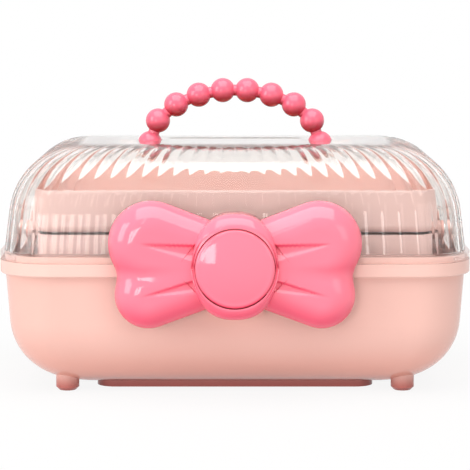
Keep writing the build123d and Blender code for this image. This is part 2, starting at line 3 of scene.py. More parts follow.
import bpy
import numpy as np
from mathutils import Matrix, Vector


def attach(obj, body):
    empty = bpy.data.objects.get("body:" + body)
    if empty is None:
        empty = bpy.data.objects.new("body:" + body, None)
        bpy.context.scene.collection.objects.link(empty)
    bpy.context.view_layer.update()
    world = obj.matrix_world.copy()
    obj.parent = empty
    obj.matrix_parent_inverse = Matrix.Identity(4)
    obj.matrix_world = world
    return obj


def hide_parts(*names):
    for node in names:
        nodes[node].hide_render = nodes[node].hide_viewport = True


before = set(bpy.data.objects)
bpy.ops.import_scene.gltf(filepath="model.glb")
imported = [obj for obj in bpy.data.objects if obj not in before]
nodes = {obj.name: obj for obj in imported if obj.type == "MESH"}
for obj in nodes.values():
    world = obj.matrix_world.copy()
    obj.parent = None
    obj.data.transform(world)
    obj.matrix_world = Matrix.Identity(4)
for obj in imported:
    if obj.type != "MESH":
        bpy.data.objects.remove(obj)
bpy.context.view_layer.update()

mm = 0.001


def meshObject(name, points, faces, smoothAngle=None):
    # one mesh object from an array of points in millimetres and a list of face arrays
    mesh = bpy.data.meshes.new(name)
    mesh.from_pydata((points * mm).tolist(), [], faces)
    mesh.validate()
    mesh.shade_smooth()
    if smoothAngle is not None:
        mesh.set_sharp_from_angle(angle=math.radians(smoothAngle))
    obj = bpy.data.objects.new(name, mesh)
    bpy.context.scene.collection.objects.link(obj)
    return obj


def gridFaces(rows, columns, start=0, flip=False):
    # quads of a grid whose columns run round a closed loop
    index = start + np.arange(rows * columns).reshape(rows, columns)
    low, high = index[:-1], index[1:]
    quads = np.stack([low, np.roll(low, -1, 1), np.roll(high, -1, 1), high], -1).reshape(-1, 4)
    return quads[:, ::-1].tolist() if flip else quads.tolist()


def turnedPart(centre, axis, along, radii, segments=40):
    # A turned solid: a profile of radii carried round an axis (0 for x, 1 for y, 2 for z), closed at each end.
    turn = 2 * np.pi * np.arange(segments) / segments
    along, radii = np.asarray(along, float), np.asarray(radii, float)[1:-1, None]
    rings = np.zeros((len(radii), segments, 3))
    first, second = ((1, 2), (2, 0), (0, 1))[axis]
    rings[..., axis] = along[1:-1, None]
    rings[..., first], rings[..., second] = radii * np.cos(turn), radii * np.sin(turn)
    ends = np.zeros((2, 3))
    ends[:, axis] = along[0], along[-1]
    size, ring = rings.shape[0] * segments, np.arange(segments)
    points = np.concatenate([rings.reshape(-1, 3), ends]) + np.array(centre, float)
    low = np.stack([np.roll(ring, -1), ring, np.full(segments, size)], 1)
    top = (rings.shape[0] - 1) * segments + ring
    high = np.stack([top, np.roll(top, -1), np.full(segments, size + 1)], 1)
    return points, gridFaces(rings.shape[0], segments) + low.tolist() + high.tolist()


def mergedParts(name, parts):
    # several closed parts as one object, each part's corners counted on from the points before it
    points, faces, start = [], [], 0
    for partPoints, partFaces in parts:
        points.append(partPoints)
        faces += [[start + corner for corner in face] for face in partFaces]
        start += len(partPoints)
    return meshObject(name, np.concatenate(points), faces)


def combine(obj, other, operation):
    # joins or cuts one closed mesh with another and keeps the result as plain mesh
    change = obj.modifiers.new("combine", "BOOLEAN")
    change.object, change.operation, change.solver = other, operation, "MANIFOLD"
    result = obj.evaluated_get(bpy.context.evaluated_depsgraph_get())
    mesh = bpy.data.meshes.new_from_object(result)
    obj.modifiers.clear()
    obj.data = mesh
    bpy.data.objects.remove(other)


def roundedLoop(halfX, halfY, corner, shares, turn):
    # Rounded rectangle walked once round: the turn from 0 to 1 is split over the front's right half, a corner,
    # the right side, a corner, the back, and so on, by fixed shares, so that every loop of a family corresponds.
    edges = np.concatenate([[0.0], np.cumsum(shares)]) / np.sum(shares)
    part = np.clip(np.searchsorted(edges, turn, side="right") - 1, 0, len(shares) - 1)
    along = (turn - edges[part]) / (edges[part + 1] - edges[part])
    flatX, flatY = halfX - corner, halfY - corner
    zero = np.zeros_like(flatX + turn)
    quarter = np.pi / 2 * along
    onPart = [part == step for step in range(len(shares))]
    x = np.select(
        onPart,
        [flatX * along, flatX + corner * np.sin(quarter), halfX + zero, flatX + corner * np.cos(quarter),
         flatX * (1 - 2 * along), -flatX - corner * np.sin(quarter), -halfX + zero,
         -flatX - corner * np.cos(quarter), -flatX * (1 - along)])
    y = np.select(
        onPart,
        [-halfY + zero, -flatY - corner * np.cos(quarter), -flatY * (1 - 2 * along),
         flatY + corner * np.sin(quarter), halfY + zero, flatY + corner * np.cos(quarter),
         flatY * (1 - 2 * along), -flatY - corner * np.sin(quarter), -halfY + zero])
    return x, y


def newMaterial(name, settings):
    # a Principled shader with its plain numbers set on its own sockets
    material = bpy.data.materials.new(name)
    material.use_nodes = True
    shader = material.node_tree.nodes["Principled BSDF"]
    for socket, value in settings.items():
        shader.inputs[socket].default_value = value
    return material, material.node_tree, shader


def addNode(tree, kind, **settings):
    # a shader node: in0, in1 and so on set its inputs by number, any other word sets a property of the node
    node = tree.nodes.new(kind)
    for key, value in settings.items():
        if key.startswith("in") and key[2:].isdigit():
            node.inputs[int(key[2:])].default_value = value
        else:
            setattr(node, key, value)
    return node


def blendColour(tree, source, axis, start, end, colour, shade):
    # carries a colour over to another tone as one coordinate goes from its start to its end: painted shade, or the
    # paler band on the tub's top
    parts = addNode(tree, "ShaderNodeSeparateXYZ")
    share = addNode(tree, "ShaderNodeMapRange", interpolation_type="SMOOTHSTEP", in1=start, in2=end)
    mix = addNode(tree, "ShaderNodeMixRGB", in2=(*shade, 1))
    tree.links.new(source, parts.inputs[0])
    tree.links.new(parts.outputs[axis], share.inputs[0])
    tree.links.new(share.outputs["Result"], mix.inputs[0])
    tree.links.new(colour, mix.inputs[1])
    return mix.outputs[0]


# metres for the depth; the scales are those of the noise, in features to the metre
plasticSkin = {"ior": 1.49, "driftScale": 9.0, "driftSpan": (0.35, 0.65), "markScale": 60.0,
               "peel": 0.03, "peelScale": 260.0, "peelDepth": 0.0004}
clearSkin = {"coat": 0.2, "coatIor": 1.5, "coatGloss": 0.02, "rippleDepth": 0.0006, "markScale": 90.0}
steelSkin = {"lineScale": 700.0, "gloss": (0.22, 0.38), "line": 0.06, "lineDepth": 0.0002}


def mouldedPlastic(name, look):
    # Glossy moulded plastic: a slow drift of tone, a faint orange-peel skin and fine handling marks in the gloss,
    # with painted shade by the normal or by a coordinate where the look asks for it, and a paler band by height.
    material, tree, shader = newMaterial(name, {"IOR": plasticSkin["ior"]})
    place = addNode(tree, "ShaderNodeTexCoord")
    drift = addNode(tree, "ShaderNodeTexNoise", in2=plasticSkin["driftScale"], in3=2.0)
    tone = addNode(tree, "ShaderNodeValToRGB")
    tone.color_ramp.elements[0].position, tone.color_ramp.elements[1].position = plasticSkin["driftSpan"]
    tone.color_ramp.elements[0].color = (*look["dark"], 1)
    tone.color_ramp.elements[1].color = (*look["light"], 1)
    marks = addNode(tree, "ShaderNodeTexNoise", in2=plasticSkin["markScale"], in3=3.0)
    gloss = addNode(tree, "ShaderNodeMapRange", in3=look["gloss"][0], in4=look["gloss"][1])
    peel = addNode(tree, "ShaderNodeTexNoise", in2=plasticSkin["peelScale"], in3=1.0)
    skin = addNode(tree, "ShaderNodeBump", in0=look.get("peel", plasticSkin["peel"]), in1=plasticSkin["peelDepth"])
    link = tree.links.new
    for texture in (drift, marks, peel):
        link(place.outputs["Object"], texture.inputs["Vector"])
    link(drift.outputs["Fac"], tone.inputs["Fac"])
    colour = tone.outputs["Color"]
    # painted shade: under darkens faces that point down, inside darkens towards the back, low darkens the foot; band
    # paints the top of the tub paler
    for change, source, axis in (("under", "Normal", 2), ("inside", "Object", 1), ("band", "Object", 2),
                                 ("low", "Object", 2)):
        if change in look:
            shade, start, end = look[change]
            colour = blendColour(tree, place.outputs[source], axis, start, end, colour, shade)
    link(colour, shader.inputs["Base Color"])
    link(marks.outputs["Fac"], gloss.inputs["Value"])
    link(gloss.outputs["Result"], shader.inputs["Roughness"])
    link(peel.outputs["Fac"], skin.inputs["Height"])
    link(skin.outputs["Normal"], shader.inputs["Normal"])
    return material


def clearPlastic(name, look):
    # Clear moulded plastic: transmission with a very faint ripple in its skin. A small share of the rays goes
    # straight through, which keeps edges that trap light from turning black.
    material, tree, shader = newMaterial(name, {
        "Base Color": (*look["tint"], 1), "IOR": look["ior"], "Transmission Weight": 1.0,
        "Coat Weight": clearSkin["coat"], "Coat IOR": clearSkin["coatIor"], "Coat Roughness": clearSkin["coatGloss"],
        "Alpha": look["alpha"]})
    place = addNode(tree, "ShaderNodeTexCoord")
    ripple = addNode(tree, "ShaderNodeTexNoise", in2=look["rippleScale"], in3=1.0)
    skin = addNode(tree, "ShaderNodeBump", in0=look["ripple"], in1=clearSkin["rippleDepth"])
    marks = addNode(tree, "ShaderNodeTexNoise", in2=clearSkin["markScale"], in3=3.0)
    gloss = addNode(tree, "ShaderNodeMapRange", in3=look["gloss"][0], in4=look["gloss"][1])
    link = tree.links.new
    link(place.outputs["Object"], ripple.inputs["Vector"])
    link(place.outputs["Object"], marks.inputs["Vector"])
    link(ripple.outputs["Fac"], skin.inputs["Height"])
    link(skin.outputs["Normal"], shader.inputs["Normal"])
    link(marks.outputs["Fac"], gloss.inputs["Value"])
    link(gloss.outputs["Result"], shader.inputs["Roughness"])
    return material


def steelFinish(name, look):
    # Plated steel of pins, rivets, screws and springs, with fine turning lines.
    material, tree, shader = newMaterial(name, {"Metallic": 1.0, "Base Color": (*look["colour"], 1)})
    place = addNode(tree, "ShaderNodeTexCoord")
    lines = addNode(tree, "ShaderNodeTexNoise", in2=steelSkin["lineScale"], in3=2.0)
    gloss = addNode(tree, "ShaderNodeMapRange", in3=steelSkin["gloss"][0], in4=steelSkin["gloss"][1])
    skin = addNode(tree, "ShaderNodeBump", in0=steelSkin["line"], in1=steelSkin["lineDepth"])
    link = tree.links.new
    link(place.outputs["Object"], lines.inputs["Vector"])
    link(lines.outputs["Fac"], gloss.inputs["Value"])
    link(gloss.outputs["Result"], shader.inputs["Roughness"])
    link(lines.outputs["Fac"], skin.inputs["Height"])
    link(skin.outputs["Normal"], shader.inputs["Normal"])
    return material


camera = {"distance": 1.4, "elevation": 6.5, "aimHeight": 0.100, "lens": 160.5, "sensor": 36.0,
          "shiftUp": -0.0213}


def makeCamera():
    # a long lens in front of the case and a little above it
    lift = math.radians(camera["elevation"])
    data = bpy.data.cameras.new("frontCamera")
    data.lens, data.sensor_width, data.shift_y = camera["lens"], camera["sensor"], camera["shiftUp"]
    obj = bpy.data.objects.new("frontCamera", data)
    obj.location = (0, -camera["distance"] * math.cos(lift),
                    camera["aimHeight"] + camera["distance"] * math.sin(lift))
    obj.rotation_euler = (math.pi / 2 - lift, 0, 0)
    bpy.context.scene.collection.objects.link(obj)
    bpy.context.scene.camera = obj


studio = {
    "ambient": 0.42, "ambientColour": (1.0, 0.985, 0.97),
    "floorColour": (0.66, 0.64, 0.63), "floorSize": 40.0, "floorRoughness": 0.9,
    "grainScale": 30.0, "grainBump": 0.02,
    # the shadow is whole up to the near radius and gone into the white at the far one
    "shadowNear": 0.17, "shadowFar": 0.34, "shadowFade": 0.9,
    # each lamp: name, place, point it faces, width, height, watts, colour
    "lamps": [
        ("topSoftbox", (0.0, -0.38, 1.25), (0, 0, 0.1), 1.4, 1.4, 20.0, (1.0, 0.985, 0.965)),
        ("windowPaneLeft", (-0.60, -1.40, 0.15), (0, 0, 0.1), 0.17, 0.46, 2.0, (1.0, 0.99, 0.98)),
        ("windowPaneRight", (-0.40, -1.46, 0.15), (0, 0, 0.1), 0.17, 0.46, 2.0, (1.0, 0.99, 0.98)),
        ("tallStrip", (-0.34, -1.35, 0.90), (0, 0, 0.12), 0.07, 0.60, 0.4, (1.0, 0.99, 0.98)),
        ("sideSoftbox", (-1.30, -0.75, 0.55), (-0.1, 0, 0.1), 0.7, 0.9, 9.0, (1.0, 0.98, 0.965)),
        ("frontFill", (1.2, -1.4, 0.55), (0, 0, 0.1), 0.8, 0.8, 3.2, (1.0, 0.97, 0.95)),
    ],
}


def seenRay(tree):
    # one for the camera, for reflections and through clear parts; nothing for the light that falls on things
    link = tree.links.new
    path = addNode(tree, "ShaderNodeLightPath")
    first = addNode(tree, "ShaderNodeMath", operation="MAXIMUM")
    second = addNode(tree, "ShaderNodeMath", operation="MAXIMUM")
    link(path.outputs["Is Camera Ray"], first.inputs[0])
    link(path.outputs["Is Glossy Ray"], first.inputs[1])
    link(first.outputs[0], second.inputs[0])
    link(path.outputs["Is Transmission Ray"], second.inputs[1])
    return second.outputs[0]


def whiteWorld(tree):
    # a white backdrop wherever it is seen, and a plain ambient level for everything else
    link = tree.links.new
    output = addNode(tree, "ShaderNodeOutputWorld")
    white = addNode(tree, "ShaderNodeBackground", in0=(1, 1, 1, 1), in1=1.0)
    plain = addNode(tree, "ShaderNodeBackground", in0=(*studio["ambientColour"], 1), in1=studio["ambient"])
    mix = addNode(tree, "ShaderNodeMixShader")
    link(seenRay(tree), mix.inputs[0])
    link(plain.outputs[0], mix.inputs[1])
    link(white.outputs[0], mix.inputs[2])
    link(mix.outputs[0], output.inputs[0])


def paleFloor():
    # A matt pale floor that keeps the shadow near the case and fades to the white of the backdrop further out.
    material, tree, shader = newMaterial("paleFloor", {"Base Color": (*studio["floorColour"], 1),
                                                       "Roughness": studio["floorRoughness"]})
    link = tree.links.new
    place = addNode(tree, "ShaderNodeTexCoord")
    grain = addNode(tree, "ShaderNodeTexNoise", in2=studio["grainScale"])
    skin = addNode(tree, "ShaderNodeBump", in0=studio["grainBump"])
    link(place.outputs["Object"], grain.inputs["Vector"])
    link(grain.outputs["Fac"], skin.inputs["Height"])
    link(skin.outputs["Normal"], shader.inputs["Normal"])
    reach = addNode(tree, "ShaderNodeVectorMath", operation="LENGTH")
    fade = addNode(tree, "ShaderNodeMapRange", in1=studio["shadowNear"], in2=studio["shadowFar"],
                   in3=studio["shadowFade"], in4=1.0)
    share = addNode(tree, "ShaderNodeMath", operation="MULTIPLY")
    white = addNode(tree, "ShaderNodeEmission", in0=(1, 1, 1, 1), in1=1.0)
    mix = addNode(tree, "ShaderNodeMixShader")
    link(place.outputs["Object"], reach.inputs[0])
    link(reach.outputs["Value"], fade.inputs["Value"])
    link(fade.outputs["Result"], share.inputs[0])
    link(seenRay(tree), share.inputs[1])
    link(share.outputs[0], mix.inputs[0])
    link(shader.outputs[0], mix.inputs[1])
    link(white.outputs[0], mix.inputs[2])
    link(mix.outputs[0], tree.nodes["Material Output"].inputs[0])
    return material


def makeStudio():
    world = bpy.data.worlds.new("whiteStudio")
    world.use_nodes = True
    world.node_tree.nodes.clear()
    whiteWorld(world.node_tree)
    bpy.context.scene.world = world
    bpy.context.scene.view_settings.view_transform = "Standard"
    for name, place, target, width, height, watts, colour in studio["lamps"]:
        data = bpy.data.lights.new(name, "AREA")
        data.shape, data.size, data.size_y = "RECTANGLE", width, height
        data.energy, data.color = watts, colour
        obj = bpy.data.objects.new(name, data)
        obj.location = place
        away = obj.location - Vector(target)
        obj.rotation_euler = away.to_track_quat("Z", "Y").to_euler()
        bpy.context.scene.collection.objects.link(obj)
    half = studio["floorSize"] / 2 / mm
    floor = meshObject("studioFloor", np.array([[-half, -half, 0], [half, -half, 0], [half, half, 0],
                                                [-half, half, 0]], float), [[0, 1, 2, 3]])
    floor.data.materials.append(paleFloor())
    print("studio: camera, world, floor and", len(studio["lamps"]), "lamps")


# millimetres and degrees; the corner's radius goes from corner at the foot to endCorner at the deck
lid = {
    "halfLength": 147.5, "halfDepth": 92.5, "corner": 31.5, "endCorner": 14.0,
    "bottom": 91.7, "top": 157.0, "taper": 7.0, "radius": 45.0,
    # the ridge's rounding starts at this share of the way from a flute's middle, and samples lie on that way
    "flutes": 86, "fluteDepth": 0.9, "ridge": 0.87, "samples": (-1.0, -0.935, -0.87, -0.45, 0.0, 0.45, 0.87, 0.935),
    "skin": 1.7, "wallRings": 5, "rollRings": 16, "fadeAngle": 9.0,
    # recess: half length, half depth, corner
    "recess": (46.0, 22.0, 8.0), "recessDrop": 0.5, "recessSlope": 3.2, "leastCorner": 0.6,
    # where the deck's rings lie between roll and recess, the recess side as (share, drop), and its inner rings
    "deckShares": (0.4, 0.8, 1.0), "recessSide": ((0.25, 0.09), (0.5, 0.5), (0.75, 0.91), (1.0, 1.0)),
    "recessRings": (10.0, 21.0),
    # well: x, z, radius; a rib or boss: its radius and where it lies and ends; a bore or hole: radius and end
    "well": (56.5, 154.8, 8.6), "cupWall": 2.2, "cupShy": 0.4, "wellRings": 21, "cupRings": 16, "crease": 35,
    "pinRib": (3.9, 152.7, 76.3), "pinBore": (1.35, 77.6),
    "boss": (36.21, 104.82, 4.5, 136.5, 144.6), "bossHole": (2.25, 143.0),
}


def lidLoops(inset, flutes, turn):
    # Loops of the dome from its foot to the middle of the deck. The wall leans in at the taper, then rolls over
    # a tangent arc to the flat deck. Each flute is a shallow scallop: the loop moves in by the flute's depth
    # times one minus the square of the place between two ridges, with the ridges rounded over by a second
    # parabola, and fades out towards the deck.
    lean = math.radians(lid["taper"])
    radius = lid["radius"] - inset
    height = lid["top"] - inset - lid["bottom"]
    tangent = height - radius + radius * math.sin(lean)
    middle = tangent * math.tan(lean) + radius * math.cos(lean)
    wallPart = np.linspace(0, 1, lid["wallRings"], endpoint=False)
    angle = lean + (math.pi / 2 - lean) * np.linspace(0, 1, lid["rollRings"])
    insets = np.concatenate([wallPart * tangent * math.tan(lean), middle - radius * np.cos(angle)])
    rises = np.concatenate([wallPart * tangent, height - radius + radius * np.sin(angle)])
    leans = np.concatenate([np.full(len(wallPart), lean), angle])
    halfX = lid["halfLength"] - inset - insets[:, None]
    halfY = lid["halfDepth"] - inset - insets[:, None]
    corner = lid["corner"] - inset + (lid["endCorner"] - lid["corner"]) * insets[:, None] / middle
    shares = fluteShares()
    x, y = roundedLoop(halfX, halfY, corner, shares, turn[None, :])
    z = (lid["bottom"] + rises)[:, None] + 0 * x
    if flutes is not None:
        fade = np.clip((math.pi / 2 - leans) / math.radians(lid["fadeAngle"]), 0, 1)
        place, ridge = np.abs(flutes), lid["ridge"]
        past = np.maximum(place - ridge, 0)
        rounded = 1 - ridge ** 2 - 2 * ridge * (past - past ** 2 / (2 * (1 - ridge)))
        hollow = np.where(past > 0, rounded, 1 - place ** 2)
        depth = lid["fluteDepth"] * fade[:, None] * hollow[None, :]
        normal = outwardNormals(x, y, z, leans)
        x, y, z = x - depth * normal[0], y - depth * normal[1], z - depth * normal[2]
    return x, y, z


def fluteShares():
    # lengths of the parts of the lid's foot loop, from the front's middle round to itself
    flatX, flatY = lid["halfLength"] - lid["corner"], lid["halfDepth"] - lid["corner"]
    bend = math.pi / 2 * lid["corner"]
    return [flatX, bend, 2 * flatY, bend, 2 * flatX, bend, 2 * flatY, bend, flatX]


def outwardNormals(x, y, z, lean):
    # horizontal direction across each loop, tilted up by the wall's lean
    dx = np.roll(x, -1, 1) - np.roll(x, 1, 1)
    dy = np.roll(y, -1, 1) - np.roll(y, 1, 1)
    size = np.hypot(dx, dy) + 1e-9
    flat = np.cos(lean)[:, None]
    return dy / size * flat, -dx / size * flat, np.sin(lean)[:, None] + 0 * x


def deckRings(x, y, inset):
    # Rings that carry the flat deck from the roll's end to the edge of the shallow recess, down its soft side
    # and in to a narrow strip in the middle: each is a rounded rectangle between the two.
    turn = lidTurn()[0]
    last = np.array([x[-1].max(), y[-1].max(), lid["endCorner"] - inset])
    recess = np.array(lid["recess"])
    top = lid["top"] - inset
    rings = [(*(last + (recess - last) * share), top) for share in lid["deckShares"]]
    for share, drop in lid["recessSide"]:
        moved = recess - lid["recessSlope"] * share
        rings.append((*moved, top - lid["recessDrop"] * drop))
    for shrink in lid["recessRings"]:
        corner = max(recess[2] - shrink, lid["leastCorner"])
        rings.append((recess[0] - shrink, recess[1] - shrink, corner, top - lid["recessDrop"]))
    halfX, halfY, corner, height = (np.array(v)[:, None] for v in zip(*rings))
    rx, ry = roundedLoop(halfX, halfY, corner, fluteShares(), turn[None, :])
    return rx, ry, height + 0 * rx


def lidTurn():
    # places round the loop and, for each, its place between two ridges from -1 to 1
    offsets = np.array(lid["samples"])
    flute = np.arange(lid["flutes"])[:, None] + (offsets[None, :] + 1) / 2
    turn = (flute / lid["flutes"]).ravel()
    return turn, np.tile(offsets, lid["flutes"])


def lidSkin(inset, flutes, turn):
    # one whole skin, the inner one being the outer one's loops drawn in by an inset: wall, roll, then deck
    loops = lidLoops(inset, flutes, turn)
    plain = lidLoops(inset, None, turn)
    return [np.concatenate(pair) for pair in zip(loops, deckRings(*plain[:2], inset))]


def makeLid():
    # The fluted outer skin and the plain inner one are joined at the foot and closed in the middle of the deck.
    # The wells stand in cups, which are balls cut flat under the deck, and rods make ribs, bosses and bores.
    turn, flutes = lidTurn()
    columns = len(turn)
    outer, inner = lidSkin(0.0, flutes, turn), lidSkin(lid["skin"], None, turn)
    rows = outer[0].shape[0]
    points = np.concatenate([np.stack([a.ravel() for a in skin], 1) for skin in (outer, inner)])
    faces = gridFaces(rows, columns) + gridFaces(rows, columns, rows * columns, flip=True)
    first, second = np.arange(columns), rows * columns + np.arange(columns)
    foot = np.stack([first, second, np.roll(second, -1), np.roll(first, -1)], 1)
    faces += foot.tolist()
    faces += stripCap((rows - 1) * columns, columns, False) + stripCap((2 * rows - 1) * columns, columns, True)
    obj = meshObject("flutedLid", points, faces)
    x, z, well = lid["well"]
    bend = np.linspace(-np.pi / 2, np.pi / 2, lid["wellRings"])
    cup = well + lid["cupWall"]
    flatTop = lid["top"] - lid["cupShy"] - z
    bowl = np.linspace(-np.pi / 2, math.asin(flatTop / cup), lid["cupRings"])
    ribRadius, ribHeight, ribEnd = lid["pinRib"]
    boreRadius, boreEnd = lid["pinBore"]
    bossY, bossZ, bossRadius, bossStart, bossEnd = lid["boss"]
    holeRadius, holeEnd = lid["bossHole"]

    def rod(side, start, end, y, height, radius):
        ends = sorted((side * start, side * end))
        return turnedPart((0, y, height), 0, [ends[0], ends[0], ends[1], ends[1]], [0, radius, radius, 0])

    sides = (1, -1)
    cups = [turnedPart((side * x, 0, z), 2, [*(cup * np.sin(bowl)), flatTop], [*(cup * np.cos(bowl)), 0])
            for side in sides]
    wells = [turnedPart((side * x, 0, z), 2, well * np.sin(bend), well * np.cos(bend)) for side in sides]
    combine(obj, mergedParts("cups", cups + [rod(side, bossStart, bossEnd, bossY, bossZ, bossRadius)
                                             for side in sides]), "UNION")
    combine(obj, mergedParts("ribs", [rod(side, x, ribEnd, 0, ribHeight, ribRadius) for side in sides]), "UNION")
    combine(obj, mergedParts("wells", wells + [rod(side, bossStart - 1, holeEnd, bossY, bossZ, holeRadius)
                                               for side in sides]), "DIFFERENCE")
    combine(obj, mergedParts("bores", [rod(side, x, boreEnd, 0, z, boreRadius) for side in sides]), "DIFFERENCE")
    obj.data.shade_smooth()
    obj.data.set_sharp_from_angle(angle=math.radians(lid["crease"]))
    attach(obj, "lid")
    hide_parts("lid_shell")
    print("lid:", lid["flutes"], "flutes,", len(obj.data.polygons), "faces")
    return obj


def stripCap(start, columns, flip):
    # closes the last narrow ring by joining each front point to the back point across from it
    half = columns // 2
    front = start + np.arange(-(columns // 4), columns // 4 + 1) % columns
    back = start + (half - np.arange(-(columns // 4), columns // 4 + 1)) % columns
    quads = np.stack([front[:-1], front[1:], back[1:], back[:-1]], 1)
    keep = [list(dict.fromkeys(q)) for q in quads.tolist()]
    keep = [q for q in keep if len(q) > 2]
    return [q[::-1] for q in keep] if flip else keep


# millimetres, measured from the knot's middle; each lobe is x, z and radius
bow = {
    "centreHeight": 86.5, "back": -96.5, "depth": 17.5, "edge": 17.5, "roundness": 2.15,
    "rootRadius": 20.5, "upperLobe": (52.2, 13.0, 27.0), "lowerLobe": (54.0, -19.2, 21.2), "notchBlend": 9.0,
    "start": (38.0, -2.0), "spokes": 240, "rings": 46, "shell": 2.0,
    # each fold: its upper edge at the knot and at the tip, its height at the knot, and its depth
    "folds": (((25.5, 14.2), (61.0, 15.0), 10.5, 2.5), ((26.5, -8.0), (60.0, -18.4), 8.0, 2.1)),
    "foldStep": 1.6, "foldRamp": 0.38, "foldFade": 0.55, "foldLead": 0.3, "foldEnd": 0.3,
    "reach": 90.0, "halvings": 40, "ringSpread": 1.35, "crease": 50,
    # knot: half width, half height; knotEdge: how far in and up it rolls; hidden: the oval where wings end
    "knot": (26.5, 33.0), "knotSquare": 2.35, "knotDepth": 24.5, "knotEdge": (9.0, 10.5),
    "bore": 25.0, "boreDrop": -0.1, "boreDepth": 8.0, "knotRings": 26,
    "lipDrop": 0.5, "lipRound": 0.15, "hidden": (25.4, 31.0),
}


def capsuleDistance(x, z, lobeShape):
    # Distance to a tapered capsule, the hull of the root circle and a lobe: the point is turned into the axis's
    # own frame, and the nearer of the two circles or the straight tangent between them is taken.
    cx, cz, far = lobeShape
    near = bow["rootRadius"]
    length = math.hypot(cx, cz)
    along = (x * cx + z * cz) / length
    across = np.abs(x * cz - z * cx) / length
    slope = (near - far) / length
    run = math.sqrt(1 - slope * slope)
    side = run * along - slope * across
    atStart = np.hypot(along, across) - near
    atEnd = np.hypot(along - length, across) - far
    between = slope * along + run * across - near
    return np.where(side < 0, atStart, np.where(side > run * length, atEnd, between))


def wingDistance(x, z):
    # both lobes joined by a smooth minimum, which rounds the notch between them
    upper, lower = capsuleDistance(x, z, bow["upperLobe"]), capsuleDistance(x, z, bow["lowerLobe"])
    share = np.clip(0.5 + 0.5 * (lower - upper) / bow["notchBlend"], 0, 1)
    return lower + (upper - lower) * share - bow["notchBlend"] * share * (1 - share)


def foldDepth(x, z):
    # Each fold is a step down along its upper edge, a level floor and an even climb back to its lower edge; it
    # is deepest at the knot and runs out at its tip.
    total = 0 * x
    for (x0, z0), (x1, z1), height, depth in bow["folds"]:
        along = np.clip((x - x0) / (x1 - x0), -bow["foldLead"], 1)
        left = 1 - np.clip(along, 0, 1)
        under = z0 + (z1 - z0) * along - z
        below = under / (height * left + bow["foldEnd"])
        step = np.clip(under / bow["foldStep"], 0, 1)
        step = step * step * (3 - 2 * step)
        climb = np.clip((1 - below) / bow["foldRamp"], 0, 1)
        total = total + depth * left ** bow["foldFade"] * step * climb * (along < 1)
    return total


def wingPoints(sign):
    # Rings between the wing's outline and a point inside it. The face's height follows the distance from the
    # outline through a superellipse, so that the edge rolls over softly into a nearly flat middle.
    spokes = 2 * np.pi * np.arange(bow["spokes"]) / bow["spokes"]
    startX, startZ = bow["start"]
    hiddenX, hiddenZ = bow["hidden"]
    dx, dz = np.cos(spokes), np.sin(spokes)
    low, high = np.zeros_like(spokes), np.full_like(spokes, bow["reach"])
    for _ in range(bow["halvings"]):
        middle = (low + high) / 2
        x, z = startX + dx * middle, startZ + dz * middle
        inKnot = 1 - np.hypot(x / hiddenX, z / hiddenZ)
        outside = np.maximum(wingDistance(x, z), inKnot) > 0
        high, low = np.where(outside, middle, high), np.where(outside, low, middle)
    share = np.linspace(0, 1, bow["rings"], endpoint=False)[:, None] ** bow["ringSpread"]
    x = startX + dx * low * (1 - share)
    z = startZ + dz * low * (1 - share)
    inside = np.clip(-wingDistance(x, z) / bow["edge"], 0, 1)
    power = bow["roundness"]
    depth = bow["depth"] * (1 - (1 - inside) ** power) ** (1 / power) - foldDepth(x, z)
    return np.stack([sign * x, bow["back"] - np.maximum(depth, 0), bow["centreHeight"] + z], -1)


def knotPoints():
    # Rings between the knot's outline, a superellipse, and the round bore of the button: a straight side, a
    # rolled edge whose height follows a quarter ellipse, a flat lip, and the wall of the bore.
    turn = 2 * np.pi * np.arange(bow["spokes"]) / bow["spokes"]
    halfWide, halfTall = bow["knot"]
    square = 2 / bow["knotSquare"]
    ovalX = halfWide * np.sign(np.cos(turn)) * np.abs(np.cos(turn)) ** square
    ovalZ = halfTall * np.sign(np.sin(turn)) * np.abs(np.sin(turn)) ** square
    boreX, boreZ = bow["bore"] * np.cos(turn), bow["boreDrop"] + bow["bore"] * np.sin(turn)
    gap = np.hypot(ovalX - boreX, ovalZ - boreZ)
    inward, rise = bow["knotEdge"]
    straight = bow["knotDepth"] - rise
    share = np.linspace(0, 1, bow["knotRings"])[:, None] ** 2
    inside = np.clip(share * gap / inward, 0, 1)
    depth = straight + rise * np.sqrt(1 - (1 - inside) ** 2)
    x, z = ovalX + (boreX - ovalX) * share, ovalZ + (boreZ - ovalZ) * share
    lip = depth[-1:] - bow["lipDrop"]
    depth[-1] -= bow["lipRound"]
    x = np.concatenate([x[:1], x, x[-1:], x[-1:]])
    z = np.concatenate([z[:1], z, z[-1:], z[-1:]])
    depth = np.concatenate([0 * lip, depth, lip, lip - bow["boreDepth"]])
    return np.stack([x, bow["back"] - depth, bow["centreHeight"] + z], -1)


def makeBow():
    # two mirrored wings, each closed by a fan round its middle, and the knot; the wall grows inwards
    points, faces, start = [], [], 0
    for sign in (1, -1):
        wing = wingPoints(sign)
        rows, columns = wing.shape[:2]
        middle = wing[-1].mean(0, keepdims=True)
        points += [wing.reshape(-1, 3), middle]
        faces += gridFaces(rows, columns, start, sign < 0)
        last = start + (rows - 1) * columns + np.arange(columns)
        fan = np.stack([last, np.roll(last, -1), np.full(columns, start + rows * columns)], 1)
        faces += (fan if sign > 0 else fan[:, ::-1]).tolist()
        start += rows * columns + 1
    knot = knotPoints()
    points.append(knot.reshape(-1, 3))
    faces += gridFaces(*knot.shape[:2], start)
    obj = meshObject("pinkBow", np.concatenate(points), faces, bow["crease"])
    wall = obj.modifiers.new("wall", "SOLIDIFY")
    wall.thickness, wall.offset = bow["shell"] * mm, -1.0
    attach(obj, "base")
    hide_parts("bow_cover")
    print("bow:", len(obj.data.polygons), "faces")
    return obj


